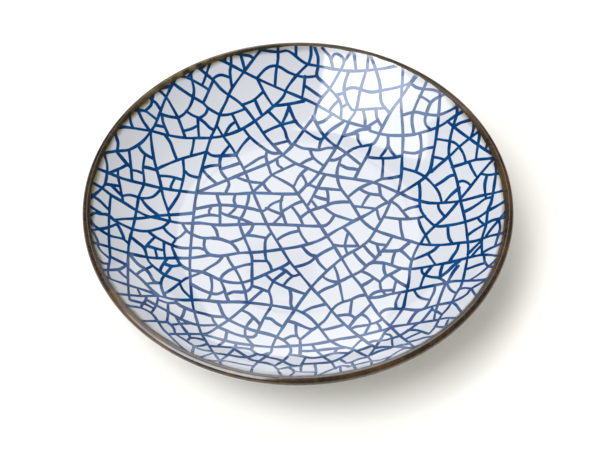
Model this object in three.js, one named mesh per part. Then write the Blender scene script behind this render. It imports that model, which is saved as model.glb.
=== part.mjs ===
// Small coupe plate in glazed porcelain with an iron-brown edge.
// Millimetres, +Z up. The origin is the middle of the foot's seat, on the table.
import * as THREE from "three";

// Overall form
const PLATE_DIAMETER = 156; // over the iron-dressed lip
const PLATE_HEIGHT = 26; // table to the top of the lip
const FLOOR_DIAMETER = 76; // flat floor, out to the spring of the wall

// Porcelain body
const FLOOR_THICKNESS = 3.6; // between the floor and the base
const LIP_THICKNESS = 2.2; // at the rounded lip, where the wall is thinnest

// Foot ring, thrown apart and luted to the base
const FOOT_HEIGHT = 5; // table to the base
const FOOT_SETBACK = 1; // from the spring of the wall in to the foot's outer face
const FOOT_DRAFT = 0.9; // lean of each face of the foot, from base to seat
const SEAT_WIDTH = 2.6; // bare flat ring that the plate stands on
const SEAT_BEVEL = 0.7; // along both edges of the seat
const LUTED_SEAM = 0.05; // slip joint between foot and base

// Fired coats
const GLAZE_THICKNESS = 0.3; // clear glaze
const IRON_THICKNESS = 0.3; // iron-brown glaze round the lip
const BOND_LINE = 0.05; // between a coat and the porcelain that carries it
const COAT_GAP = 0.1; // between the iron edge and the clear glaze beside it
const IRON_INSIDE = 1.4; // how far the iron edge runs down inside the lip
const IRON_OUTSIDE = 1.6; // and down outside it
const GLAZE_LINE = 1.6; // table to where the clear glaze stops on the foot

// Facets
const TURN_SEGMENTS = 64; // round the axis
const WALL_STEPS = 8; // up the wall
const LIP_STEPS = 6; // over the lip

const floorRadius = FLOOR_DIAMETER / 2;
const floorHeight = FOOT_HEIGHT + FLOOR_THICKNESS;
const lipRadius = LIP_THICKNESS / 2;
const lipCover = lipRadius + BOND_LINE + IRON_THICKNESS;

// The inside of the wall is one arc. It leaves the floor level and ends where the lip's round begins,
// so its slope at the lip and its radius follow from the plate's overall size.
const lipReach = PLATE_DIAMETER / 2 - lipCover - floorRadius;
const lipRise = PLATE_HEIGHT - lipCover - floorHeight + lipRadius;
const wallAngle = 2 * Math.atan2(lipRise, lipReach);
const wallRadius = lipReach / Math.sin(wallAngle) - lipRadius;
const wallCentre = new THREE.Vector2(floorRadius, floorHeight + wallRadius);

// Angles up the wall at which the coats begin and end
const outsideRadius = wallRadius + LIP_THICKNESS;
const insideIronAngle = wallAngle - IRON_INSIDE / wallRadius;
const insideGlazeAngle = insideIronAngle - COAT_GAP / wallRadius;
const outsideIronAngle = wallAngle - IRON_OUTSIDE / outsideRadius;
const outsideGlazeAngle = outsideIronAngle - COAT_GAP / outsideRadius;

// The foot's faces lean towards each other on the way down to the seat.
const footOuterTop = floorRadius - FOOT_SETBACK;
const seatOuter = footOuterTop - FOOT_DRAFT - SEAT_BEVEL;
const seatInner = seatOuter - SEAT_WIDTH;
const footInnerTop = seatInner - SEAT_BEVEL - FOOT_DRAFT;

// Section points are (radius, height).
function sectionPoint(radius, height) {
  return new THREE.Vector2(radius, height);
}

function wallThickness(angle) {
  return THREE.MathUtils.lerp(FLOOR_THICKNESS, LIP_THICKNESS, angle / wallAngle);
}

// A point of the wall, at an angle up from its spring and a depth into the porcelain
function wallPoint(angle, depth) {
  const reach = wallRadius + depth;
  return sectionPoint(wallCentre.x + reach * Math.sin(angle), wallCentre.y - reach * Math.cos(angle));
}

function anglesBetween(from, to, steps) {
  return Array.from({ length: steps + 1 }, (_, step) => THREE.MathUtils.lerp(from, to, step / steps));
}

function insideWall(from, to, steps) {
  return anglesBetween(from, to, steps).map((angle) => wallPoint(angle, 0));
}

function outsideWall(from, to, steps) {
  return anglesBetween(from, to, steps).map((angle) => wallPoint(angle, wallThickness(angle)));
}

// The half round that closes the wall at the lip, from inside to outside and without its two ends
function lipRound() {
  const centre = wallPoint(wallAngle, lipRadius);
  const upTheWall = new THREE.Vector2(Math.cos(wallAngle), Math.sin(wallAngle));
  const throughTheWall = new THREE.Vector2(Math.sin(wallAngle), -Math.cos(wallAngle));
  return anglesBetween(0, Math.PI, LIP_STEPS)
    .slice(1, -1)
    .map((turn) =>
      centre
        .clone()
        .addScaledVector(throughTheWall, -lipRadius * Math.cos(turn))
        .addScaledVector(upTheWall, lipRadius * Math.sin(turn)),
    );
}

// Share of the foot's lean that is used up at a height: none at the base, all of it above the bevel
function footLean(height) {
  return (FOOT_DRAFT * (FOOT_HEIGHT - height)) / (FOOT_HEIGHT - SEAT_BEVEL);
}

function footOuterFace(height) {
  return sectionPoint(footOuterTop - footLean(height), height);
}

function footInnerFace(height) {
  return sectionPoint(footInnerTop + footLean(height), height);
}

// Stretches of the section that carry a coat, each run with the open air on its left
function insideLine() {
  return [sectionPoint(0, floorHeight), ...insideWall(0, insideGlazeAngle, WALL_STEPS)];
}

function ironLine() {
  return [
    ...insideWall(insideIronAngle, wallAngle, 1),
    ...lipRound(),
    ...outsideWall(wallAngle, outsideIronAngle, 1),
  ];
}

function outsideLine() {
  return [
    ...outsideWall(outsideGlazeAngle, 0, WALL_STEPS),
    footOuterFace(FOOT_HEIGHT),
    footOuterFace(GLAZE_LINE),
  ];
}

function baseLine() {
  return [footInnerFace(GLAZE_LINE), footInnerFace(FOOT_HEIGHT), sectionPoint(0, FOOT_HEIGHT)];
}

// The normal on the left of the run from one section point to the next
function leftNormal(from, to) {
  const along = to.clone().sub(from).normalize();
  return sectionPoint(-along.y, along.x);
}

// A section line lifted off the porcelain, square to itself, with mitred corners
function lifted(line, height) {
  return line.map((point, place) => {
    const before = place > 0 ? leftNormal(line[place - 1], point) : leftNormal(point, line[1]);
    const after = place < line.length - 1 ? leftNormal(point, line[place + 1]) : before;
    const mitre = before.clone().add(after).divideScalar(1 + before.dot(after));
    return point.clone().addScaledVector(mitre, height);
  });
}

// The closed outline of a coat: out along the bond line and back along the coat's face
function coatOutline(line, thickness) {
  const bonded = lifted(line, BOND_LINE);
  const face = lifted(line, BOND_LINE + thickness).reverse();
  if (line[0].x === 0) return [...bonded, ...face];
  if (line.at(-1).x === 0) return [...face, ...bonded];
  return [...bonded, ...face, bonded[0]];
}

function bodyOutline() {
  const section = [...insideLine(), ...ironLine(), ...outsideWall(outsideGlazeAngle, 0, WALL_STEPS)];
  return [...section, sectionPoint(0, FOOT_HEIGHT)].reverse();
}

function footOutline() {
  const top = FOOT_HEIGHT - LUTED_SEAM;
  const seatCorner = sectionPoint(seatInner, 0);
  return [
    seatCorner,
    sectionPoint(seatOuter, 0),
    footOuterFace(SEAT_BEVEL),
    footOuterFace(top),
    footInnerFace(top),
    footInnerFace(SEAT_BEVEL),
    seatCorner,
  ];
}

const biscuit = new THREE.MeshStandardMaterial({ color: 0xe9e6df, roughness: 0.85, metalness: 0 });
const clearGlaze = new THREE.MeshStandardMaterial({ color: 0xf1f2f7, roughness: 0.12, metalness: 0 });
const ironGlaze = new THREE.MeshStandardMaterial({ color: 0x4a3b28, roughness: 0.2, metalness: 0 });

// A piece turned about the plate's axis from its section outline
function turned(name, outline, material) {
  const geometry = new THREE.LatheGeometry(outline, TURN_SEGMENTS).rotateX(Math.PI / 2);
  const mesh = new THREE.Mesh(geometry, material);
  mesh.name = name;
  return mesh;
}

const plate = new THREE.Group();
plate.name = "porcelain_plate";
plate.add(
  turned("porcelain_body", bodyOutline(), biscuit),
  turned("foot_ring", footOutline(), biscuit),
  turned("inside_glaze", coatOutline(insideLine(), GLAZE_THICKNESS), clearGlaze),
  turned("outside_glaze", coatOutline(outsideLine(), GLAZE_THICKNESS), clearGlaze),
  turned("base_glaze", coatOutline(baseLine(), GLAZE_THICKNESS), clearGlaze),
  turned("iron_edge", coatOutline(ironLine(), IRON_THICKNESS), ironGlaze),
);

export default plate;
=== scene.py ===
"""Small porcelain plate with an iron-brown lip and a cobalt ice-crackle net, dressed over its CAD frame."""

import math

import bmesh
import bpy
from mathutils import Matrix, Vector, noise
from mathutils.bvhtree import BVHTree
from mathutils.geometry import delaunay_2d_cdt, interpolate_bezier


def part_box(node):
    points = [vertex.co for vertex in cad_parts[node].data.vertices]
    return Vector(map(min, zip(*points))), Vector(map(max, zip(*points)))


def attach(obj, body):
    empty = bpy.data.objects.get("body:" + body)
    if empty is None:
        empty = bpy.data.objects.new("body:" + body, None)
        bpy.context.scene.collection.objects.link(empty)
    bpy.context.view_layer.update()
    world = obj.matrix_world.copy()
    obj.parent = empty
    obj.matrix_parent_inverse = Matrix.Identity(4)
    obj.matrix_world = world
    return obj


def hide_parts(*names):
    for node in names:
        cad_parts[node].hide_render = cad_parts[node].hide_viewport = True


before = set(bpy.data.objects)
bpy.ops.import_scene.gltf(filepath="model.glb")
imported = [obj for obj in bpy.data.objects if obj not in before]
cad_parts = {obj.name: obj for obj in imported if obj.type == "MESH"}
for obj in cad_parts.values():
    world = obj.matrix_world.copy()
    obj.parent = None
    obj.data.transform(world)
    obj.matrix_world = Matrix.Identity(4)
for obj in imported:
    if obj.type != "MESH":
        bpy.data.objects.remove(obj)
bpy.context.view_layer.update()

MM = 0.001

# Photograph and camera
PHOTO_WIDTH = 612
PHOTO_HEIGHT = 458
SENSOR_WIDTH = 36.0
LENS = 89.06  # millimetres on that sensor
FOCAL = LENS / SENSOR_WIDTH * PHOTO_WIDTH  # photograph pixels
CAMERA_DISTANCE = 0.55  # from the middle of the lip's circle
CAMERA_ELEVATION = math.radians(52.05)
AIM_RIGHT = 2.75 * MM  # the optical axis meets the lip's plane here, right of the plate's axis
AIM_FORWARD = -13.35 * MM  # and nearer the camera than that axis

# Dressed lip
LIP_ROUND = 1.45 * MM  # half the thickness over the iron
IRON_INSIDE = 0.5 * MM  # least run of the iron down inside the lip's round, on the left
IRON_LEAN = 0.9 * MM  # how much further it ran on the right
IRON_SHORT = 1.3 * MM  # and how much less on the far side
SHORT_BEARING = math.radians(65)  # round here
SHORT_POWER = 4  # of the cosine by which that goes off to either side
SHORT_STAIN = 0.2  # share of its stain in the glaze that is left there
STAIN_FADE = (math.radians(44), math.radians(18))  # from there, where the stain begins to go and is least
IRON_GLOSS = 0.5  # specular level of the iron
SHORT_GLOSS = 0.08  # and where it is thin
GLOSS_FADE = (math.radians(40), math.radians(20))  # where the gloss begins to go and is least
OCHRE_BEARING = math.radians(128)  # round here it ran thick and fired to ochre
OCHRE_FADE = (math.radians(24), math.radians(8))  # where the ochre begins and is full
IRON_OUTSIDE = 1.9 * MM  # its run down outside the lip
IRON_RAGGED = 0.45 * MM  # how far its edges wander
INNER_SEED = 1.7  # for the wandering of its inner edge
OUTER_SEED = 8.3  # and of its outer edge
SLOW_WAVES = 5  # of the wandering round the lip
SLOW_SHARE = 0.65
QUICK_WAVES = 22
QUICK_SHARE = 0.6
IRON_PROUD = 0.06 * MM  # above the clear glaze
IRON_FEATHER = 0.35 * MM  # run over which its edges thin out
IRON_TUCK = 0.02 * MM  # how far a thinned edge dips under the clear glaze
IRON_DEPTH = 0.25 * MM  # under the lip's face
OUTSIDE_TAPER = 0.035  # how fast the wall thickens below the lip
CLEAR_DEPTH = 0.3 * MM  # thickness of the inside glaze
CLEAR_RISE = 1.2 * MM  # its run up the lip's round, under the iron

# Crackle
LINE_WIDTH = 3.1  # photograph pixels
WIDEST_LINE = 1.5 * MM  # on the plate
LINE_WIDTH_SWING = 0.32  # share of the width that comes and goes along a line, at most
LINE_WIDTH_SCALE = 170.0  # waves of that swing per metre
LINE_STEP = 0.9 * MM  # between cross-sections of a line
TIP_REACH = 0.8  # a line runs past its last place by this share of its half width
TIP_WIDTH = 0.5  # and ends at this share of its width
LINE_PROUD = 0.015 * MM  # above the clear glaze
LINE_DEPTH = 0.05 * MM  # under it
RIM_REACH = 5.0 * MM  # a line that ends this near the lip runs on under the iron
LEAST_OUTWARD = 0.3  # if it heads outwards by at least this share of its way
RIM_PASS = 0.35 * MM  # and ends this far up the lip's round
RIM_SLACK = 0.1 * MM  # near enough to an end not to matter
RIM_DIP = 0.3 * MM  # short of the round, it dips under the iron again
IRON_SHOWS = 2.6 * MM  # from the lip, where a line begins to rise to show through the iron
LINE_RISE = 1.3 * MM  # run over which it rises
NET_TOLERANCE = 1e-4  # millimetres within which points of the net are one
WHOLE_AREA = 0  # output type of the triangulation that fills the gaps too

# Fineness of the turned pieces
TURN_SEGMENTS = 256
LIP_SEGMENTS = 720
FLOOR_RINGS = 16
WALL_RINGS = 40
LIP_RINGS = 6
IRON_STEPS = 22
FILLET_STEPS = 5
FILLET_LIMIT = 2.5  # a side is at least this many times as long as its fillet
FILLET_PULL = 0.6  # how far a fillet's handles reach towards its corner
FOOT_FILLET = 0.25 * MM
COAT_FILLET = 0.1 * MM
SAME_PLACE = 0.001 * MM  # points nearer to each other than this are one
PLACE_DIGITS = 6  # of a point's metres, kept when points are matched
LEVEL = 0.01 * MM  # heights nearer to each other than this are level
CORNER = math.radians(20)  # a sharper turn in a section is a corner to round
SHARP = math.radians(40)  # edges sharper than this keep their crease

# Cracks, each drawn through a few photograph pixels from one end to the other
BACK_WALL_CRACKS = [
    [(200, 69), (213, 80), (222, 90), (241, 104), (255, 121), (266, 137), (276, 148), (284, 156)],
    [(207, 62), (204, 66), (201, 69)],
    [(213, 79), (217, 76), (222, 75), (231, 78)],
    [(231, 58), (231, 65), (230, 72), (232, 88)],
    [(221, 60), (231, 65), (256, 78), (285, 91), (311, 102), (331, 113), (345, 121), (370, 128)],
    [(225, 57), (225, 62)],
    [(241, 56), (243, 63), (245, 71)],
    [(244, 55), (250, 56), (253, 58)],
    [(259, 52), (246, 69), (231, 90), (226, 102), (220, 114), (217, 124), (212, 135)],
    [(220, 115), (225, 115), (231, 114), (245, 109)],
    [(232, 114), (235, 120), (240, 130)],
    [(235, 122), (230, 126), (224, 136)],
    [(308, 64), (297, 75), (287, 88), (283, 97), (268, 111), (255, 121), (240, 130), (223, 136), (210, 138)],
    [(210, 138), (199, 138), (186, 138), (167, 135), (151, 131), (125, 127), (117, 128)],
    [(217, 126), (223, 136), (232, 148), (240, 162), (246, 174), (253, 192), (264, 218)],
    [(242, 105), (250, 102), (254, 100), (263, 92)],
    [(243, 128), (250, 137), (262, 147), (272, 153), (281, 153)],
    [(261, 50), (278, 52), (288, 51), (305, 63), (318, 66), (350, 71), (380, 69), (391, 67)],
    [(278, 52), (278, 59), (276, 72), (275, 86)],
    [(257, 78), (267, 68), (277, 66), (290, 73), (304, 77), (317, 76)],
    [(257, 78), (265, 94), (273, 106)],
    [(255, 100), (258, 107), (262, 115)],
    [(274, 106), (289, 104), (304, 101)],
    [(289, 104), (288, 110), (282, 124)],
    [(289, 106), (292, 114), (296, 122), (303, 129), (316, 138), (322, 140)],
    [(268, 111), (274, 117), (282, 125)],
    [(263, 133), (271, 129), (281, 125), (296, 121)],
    [(282, 126), (285, 131), (287, 138), (292, 146)],
    [(311, 50), (311, 55), (309, 63)],
    [(296, 50), (296, 56)],
    [(316, 51), (318, 57), (318, 66)],
    [(318, 67), (317, 76), (325, 84), (338, 98), (341, 105), (341, 118)],
    [(336, 95), (345, 93)],
    [(305, 76), (304, 86), (302, 98)],
    [(305, 86), (311, 90), (322, 98)],
    [(340, 71), (330, 88), (321, 99), (317, 106), (314, 116), (306, 127), (292, 146), (284, 154)],
    [(313, 116), (320, 130), (329, 141), (346, 153), (361, 165)],
    [(318, 123), (324, 121), (332, 114)],
    [(343, 122), (331, 130), (325, 136), (321, 141), (319, 148)],
    [(349, 122), (342, 137), (336, 148), (325, 165), (316, 177), (307, 186)],
    [(366, 71), (360, 91), (356, 110), (349, 121)],
    [(349, 71), (346, 79), (344, 90), (347, 102), (352, 110)],
    [(345, 90), (350, 88), (356, 88), (370, 92), (379, 91), (410, 83), (418, 74)],
    [(325, 51), (330, 57), (333, 69)],
    [(331, 60), (335, 54), (341, 56), (344, 61), (341, 70)],
    [(344, 62), (350, 53)],
    [(354, 53), (356, 70)],
    [(368, 60), (367, 70)],
    [(330, 110), (333, 106), (338, 101)],
    [(341, 108), (347, 104)],
    [(353, 110), (370, 109), (385, 108)],
    [(363, 110), (365, 119), (365, 127)],
    [(343, 136), (351, 134), (360, 130), (370, 129)],
    [(351, 134), (357, 134), (358, 140), (361, 145)],
]
UPPER_LEFT_CRACKS = [
    [(115, 131), (116, 136), (118, 143), (117, 152)],
    [(130, 118), (131, 123), (133, 128)],
    [(136, 110), (145, 111), (151, 115), (156, 119)],
    [(138, 110), (140, 115), (143, 121), (150, 131)],
    [(150, 95), (151, 99), (156, 103), (160, 109)],
    [(152, 100), (151, 105), (145, 111)],
    [(176, 77), (169, 91), (164, 102), (155, 125), (151, 131)],
    [(159, 90), (166, 97), (171, 105), (178, 118), (183, 131), (185, 137)],
    [(161, 88), (167, 87), (171, 86)],
    [(173, 83), (178, 87), (193, 97), (203, 103), (208, 108), (220, 115)],
    [(181, 76), (188, 78), (203, 86), (209, 90)],
    [(188, 77), (191, 73), (193, 70)],
    [(192, 80), (194, 91), (191, 104), (185, 113), (178, 118)],
    [(186, 111), (192, 115), (199, 118)],
    [(161, 114), (167, 116), (178, 118)],
    [(162, 115), (163, 122), (168, 134)],
    [(155, 125), (160, 126), (164, 127)],
    [(183, 131), (191, 129), (197, 126)],
    [(198, 118), (198, 124), (199, 138)],
    [(200, 119), (205, 123), (210, 128), (214, 130)],
    [(208, 108), (206, 113), (203, 116), (199, 118)],
    [(213, 81), (209, 90), (206, 97), (203, 103)],
    [(206, 75), (204, 81), (202, 85)],
]
LEFT_WALL_CRACKS = [
    [(104, 153), (117, 151), (128, 150), (138, 145), (145, 139), (151, 131)],
    [(104, 153), (107, 164), (107, 173), (105, 184), (102, 188), (93, 196)],
    [(117, 152), (122, 158), (128, 165)],
    [(131, 168), (128, 165), (121, 168), (109, 173)],
    [(129, 150), (130, 158), (131, 168), (132, 180)],
    [(96, 168), (109, 173), (121, 178), (144, 184), (161, 188), (180, 191), (200, 193)],
    [(118, 170), (118, 176), (120, 186), (123, 201)],
    [(105, 184), (112, 185), (120, 186)],
    [(111, 185), (115, 189), (121, 195)],
    [(93, 183), (102, 188), (111, 195), (123, 202), (145, 215), (161, 219), (180, 223), (200, 223)],
    [(93, 196), (100, 201), (108, 209)],
    [(111, 195), (110, 202), (109, 219), (109, 240), (110, 257), (108, 272), (111, 279), (116, 281)],
    [(116, 281), (128, 285), (144, 290), (158, 295)],
    [(91, 207), (101, 213)],
    [(91, 215), (95, 213), (101, 214), (108, 215), (114, 220), (121, 224), (132, 229)],
    [(132, 229), (141, 231), (149, 231), (157, 229), (163, 227), (170, 221)],
    [(114, 220), (123, 219), (143, 218), (157, 216), (168, 215), (193, 213)],
    [(91, 221), (95, 226), (98, 229)],
    [(93, 230), (99, 229), (106, 228), (117, 224)],
    [(99, 229), (105, 233), (111, 236), (123, 239), (128, 243)],
    [(92, 231), (95, 235), (98, 242), (98, 246), (101, 251), (109, 258)],
    [(117, 224), (120, 229), (124, 238)],
    [(145, 154), (143, 168), (144, 183), (139, 196), (137, 207), (134, 223), (129, 243), (128, 260)],
    [(128, 260), (128, 280), (129, 296), (130, 300)],
    [(138, 145), (141, 150), (145, 154), (154, 159)],
    [(151, 131), (151, 138), (154, 159), (160, 181), (163, 196), (168, 211), (170, 220)],
    [(144, 167), (149, 168), (156, 170)],
    [(131, 170), (137, 171), (142, 173)],
    [(156, 170), (161, 167), (178, 160), (191, 156), (206, 152)],
    [(165, 135), (170, 142), (173, 150), (177, 160)],
    [(194, 139), (193, 146), (191, 155)],
    [(183, 159), (184, 172), (183, 180), (179, 194), (175, 201), (168, 211)],
    [(185, 171), (189, 175), (200, 178)],
    [(159, 176), (165, 176), (172, 177), (183, 180)],
    [(175, 178), (171, 186), (171, 190)],
    [(122, 196), (130, 195), (141, 198), (148, 198), (154, 196), (161, 189)],
    [(141, 198), (145, 204), (151, 210), (158, 215)],
    [(182, 223), (187, 231), (196, 236), (203, 238), (212, 238)],
    [(186, 231), (181, 236), (176, 239)],
    [(163, 227), (167, 232), (176, 239)],
    [(176, 239), (172, 246), (174, 252), (177, 259), (181, 265), (190, 270), (202, 272), (220, 280)],
    [(148, 231), (154, 236), (161, 240), (174, 246), (183, 248), (199, 248), (205, 250)],
    [(155, 237), (149, 243), (145, 248)],
    [(131, 237), (137, 242), (144, 248), (148, 260), (152, 265), (158, 270), (165, 275), (180, 281)],
    [(95, 243), (106, 246), (118, 250), (141, 256), (154, 258), (174, 258), (190, 258), (210, 255)],
    [(130, 255), (138, 264), (145, 269), (149, 273), (153, 280), (157, 283)],
    [(118, 270), (123, 275), (128, 279)],
    [(109, 270), (120, 269), (125, 266), (128, 263)],
    [(111, 257), (117, 260), (127, 265)],
    [(100, 261), (103, 263), (109, 264)],
    [(129, 269), (135, 274), (141, 279), (152, 290), (158, 295)],
    [(136, 275), (141, 271), (146, 269), (152, 266)],
    [(148, 246), (154, 248), (162, 250)],
    [(164, 242), (164, 250), (165, 257)],
    [(155, 249), (157, 257)],
    [(167, 259), (164, 263), (161, 268), (160, 272)],
    [(165, 264), (171, 266), (175, 266), (181, 265)],
    [(172, 266), (165, 275), (162, 279), (161, 285), (163, 292), (165, 296)],
    [(145, 284), (153, 283), (161, 283)],
    [(164, 294), (172, 289), (185, 279), (190, 277), (202, 272), (210, 267), (218, 262), (223, 256)],
    [(180, 284), (183, 290), (191, 298)],
    [(138, 290), (141, 296)],
]
FLOOR_CRACKS = [
    [(200, 193), (234, 194), (254, 193), (284, 194), (297, 194)],
    [(200, 223), (220, 225), (253, 224), (290, 225), (323, 226), (329, 223), (334, 216)],
    [(212, 135), (210, 140), (206, 153), (202, 168), (199, 180), (197, 191), (195, 202)],
    [(195, 202), (192, 231), (190, 258), (190, 273), (191, 289), (193, 306), (197, 321), (201, 333)],
    [(195, 209), (210, 206), (220, 205), (236, 206), (253, 209), (263, 211), (272, 204), (282, 200)],
    [(194, 218), (203, 216), (210, 215), (220, 216)],
    [(212, 238), (220, 239), (226, 241), (231, 243), (236, 248), (239, 253)],
    [(210, 255), (220, 256), (240, 253), (260, 252), (283, 249), (301, 246), (320, 240), (337, 230)],
    [(337, 230), (345, 226), (354, 221), (368, 214), (382, 205), (392, 201)],
    [(191, 284), (200, 289), (210, 293), (217, 294), (225, 291)],
    [(284, 154), (273, 161), (264, 165), (244, 173), (227, 180), (210, 187), (198, 192)],
    [(284, 156), (295, 163), (307, 168), (320, 173), (340, 177), (360, 180), (375, 183), (402, 194)],
    [(264, 218), (270, 230), (280, 246), (290, 262), (300, 274), (311, 287), (322, 299), (332, 311)],
    [(229, 146), (222, 155), (220, 160), (221, 171), (228, 181), (229, 185), (226, 192)],
    [(207, 152), (211, 155), (216, 156), (236, 155)],
    [(203, 168), (210, 166), (220, 165)],
    [(221, 169), (228, 167), (240, 163)],
    [(202, 169), (207, 175), (217, 184)],
    [(236, 177), (244, 180), (252, 182), (262, 183)],
    [(217, 194), (218, 199), (220, 205), (220, 213), (220, 224)],
    [(235, 195), (234, 201), (236, 207), (232, 212), (228, 215)],
    [(249, 194), (248, 201), (243, 215), (239, 221), (240, 226), (244, 237), (250, 251), (252, 258)],
    [(252, 258), (252, 267), (252, 286)],
    [(211, 208), (209, 211), (210, 215)],
    [(220, 212), (226, 215), (241, 219), (253, 224)],
    [(250, 137), (246, 141), (241, 147), (236, 155)],
    [(267, 151), (266, 157), (269, 168), (271, 174)],
    [(266, 156), (260, 158), (252, 163), (244, 168)],
    [(273, 145), (280, 143), (288, 141)],
    [(277, 160), (278, 165), (282, 168)],
    [(295, 164), (282, 170), (272, 175), (263, 183), (254, 191)],
    [(263, 183), (266, 188), (271, 193)],
    [(272, 175), (287, 183), (293, 187), (297, 193), (303, 201), (310, 211), (317, 221), (327, 236)],
    [(327, 236), (334, 246), (342, 259), (352, 275), (361, 286), (369, 300), (379, 315), (391, 327)],
    [(301, 164), (306, 161), (313, 158)],
    [(294, 144), (302, 148), (309, 149), (319, 150), (327, 148), (335, 148)],
    [(310, 150), (313, 157), (317, 161), (324, 166)],
    [(308, 168), (302, 173), (298, 178), (294, 186)],
    [(302, 175), (305, 180), (306, 185), (298, 194)],
    [(310, 185), (318, 188), (329, 189), (340, 190)],
    [(283, 195), (281, 201), (281, 209), (283, 215), (286, 224)],
    [(266, 208), (273, 211), (281, 214)],
    [(283, 211), (288, 208), (295, 204), (303, 201)],
    [(292, 207), (296, 212), (300, 218), (303, 225)],
    [(300, 218), (310, 211), (325, 206), (333, 203), (342, 202), (350, 202)],
    [(325, 175), (321, 181), (318, 187), (311, 200), (308, 205)],
    [(274, 223), (278, 219), (282, 215)],
    [(341, 158), (338, 167), (337, 174), (340, 187), (348, 198), (355, 209), (361, 219)],
    [(339, 164), (347, 168), (354, 169), (359, 170)],
    [(314, 196), (320, 198), (328, 200)],
    [(327, 190), (328, 195), (328, 205)],
    [(312, 201), (315, 205), (318, 209)],
    [(325, 208), (330, 212), (335, 215), (347, 219), (354, 221)],
    [(348, 197), (353, 193), (360, 188), (371, 183)],
    [(360, 189), (365, 192), (371, 194), (380, 195)],
    [(370, 194), (366, 199), (362, 206)],
    [(353, 206), (361, 207), (370, 208), (376, 209)],
    [(379, 185), (380, 191), (381, 196), (387, 202)],
    [(377, 210), (378, 215), (380, 220)],
    [(391, 201), (384, 216), (378, 226), (369, 240), (359, 248), (348, 254), (341, 259), (328, 270)],
    [(328, 270), (316, 282), (306, 294), (298, 305), (292, 314), (285, 324), (276, 338)],
    [(391, 201), (398, 206), (402, 211), (409, 219)],
    [(403, 211), (410, 208), (419, 206)],
    [(383, 217), (391, 218), (400, 219), (418, 218), (425, 216)],
    [(253, 225), (251, 230), (244, 237), (238, 240), (231, 242)],
    [(246, 235), (255, 236), (266, 238)],
    [(212, 225), (216, 230), (218, 237)],
    [(205, 238), (204, 245), (206, 251), (210, 255)],
    [(271, 233), (266, 239), (265, 246), (266, 259), (270, 265), (272, 271)],
    [(252, 261), (260, 261), (266, 261)],
    [(227, 256), (230, 262), (238, 274), (244, 288), (246, 296), (247, 303)],
    [(252, 264), (245, 265), (230, 270), (223, 275), (220, 280)],
    [(220, 280), (228, 282), (238, 283), (245, 282), (259, 277), (272, 271), (284, 266), (290, 262)],
    [(266, 275), (273, 281), (283, 286), (296, 291), (305, 294)],
    [(273, 281), (278, 277), (286, 271)],
    [(280, 268), (286, 271), (293, 276), (300, 274)],
    [(283, 286), (288, 280), (293, 276)],
    [(273, 282), (271, 286), (269, 291), (271, 298), (271, 306), (265, 316), (260, 326), (256, 335)],
    [(252, 286), (259, 288), (264, 290), (269, 292)],
    [(252, 286), (249, 290), (244, 292), (233, 292), (228, 294)],
    [(263, 290), (256, 296), (248, 303)],
    [(221, 281), (224, 288), (226, 295), (229, 302)],
    [(211, 277), (212, 286), (211, 293), (208, 300)],
    [(290, 290), (291, 296), (291, 305), (294, 310)],
    [(298, 226), (299, 230), (302, 236), (307, 243)],
    [(277, 240), (283, 236), (290, 233), (298, 231)],
    [(302, 246), (306, 251), (311, 255), (316, 256)],
    [(295, 267), (303, 265), (310, 262), (316, 257), (324, 252), (334, 247)],
    [(344, 228), (349, 233), (353, 238), (359, 247)],
    [(348, 233), (346, 240), (345, 246), (347, 253)],
    [(334, 245), (341, 246), (348, 246), (356, 246)],
    [(316, 257), (319, 263), (327, 271)],
    [(334, 266), (337, 273), (339, 282), (342, 296), (343, 302)],
    [(317, 294), (325, 289), (333, 286), (338, 283)],
    [(354, 253), (359, 259), (366, 266)],
    [(364, 246), (369, 252), (375, 259), (371, 263)],
    [(369, 241), (377, 244), (385, 245)],
    [(392, 237), (387, 245), (382, 251), (375, 259)],
    [(377, 245), (379, 252), (380, 255)],
    [(383, 251), (393, 251), (400, 250), (405, 246), (409, 243)],
    [(400, 250), (405, 254), (411, 260)],
    [(395, 252), (393, 258), (392, 264)],
    [(400, 220), (401, 229), (403, 238)],
    [(384, 263), (384, 270), (386, 276)],
    [(380, 282), (385, 277), (391, 274), (400, 269)],
    [(391, 276), (396, 280), (402, 284), (408, 287)],
    [(361, 271), (368, 274), (374, 278), (380, 282)],
    [(361, 286), (367, 283), (373, 279)],
    [(380, 283), (381, 289), (385, 294)],
    [(396, 281), (394, 289), (393, 294)],
    [(369, 297), (374, 293), (381, 291), (393, 290)],
    [(322, 276), (328, 280), (336, 282), (341, 281), (347, 278), (361, 271), (371, 263), (384, 263)],
]
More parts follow.
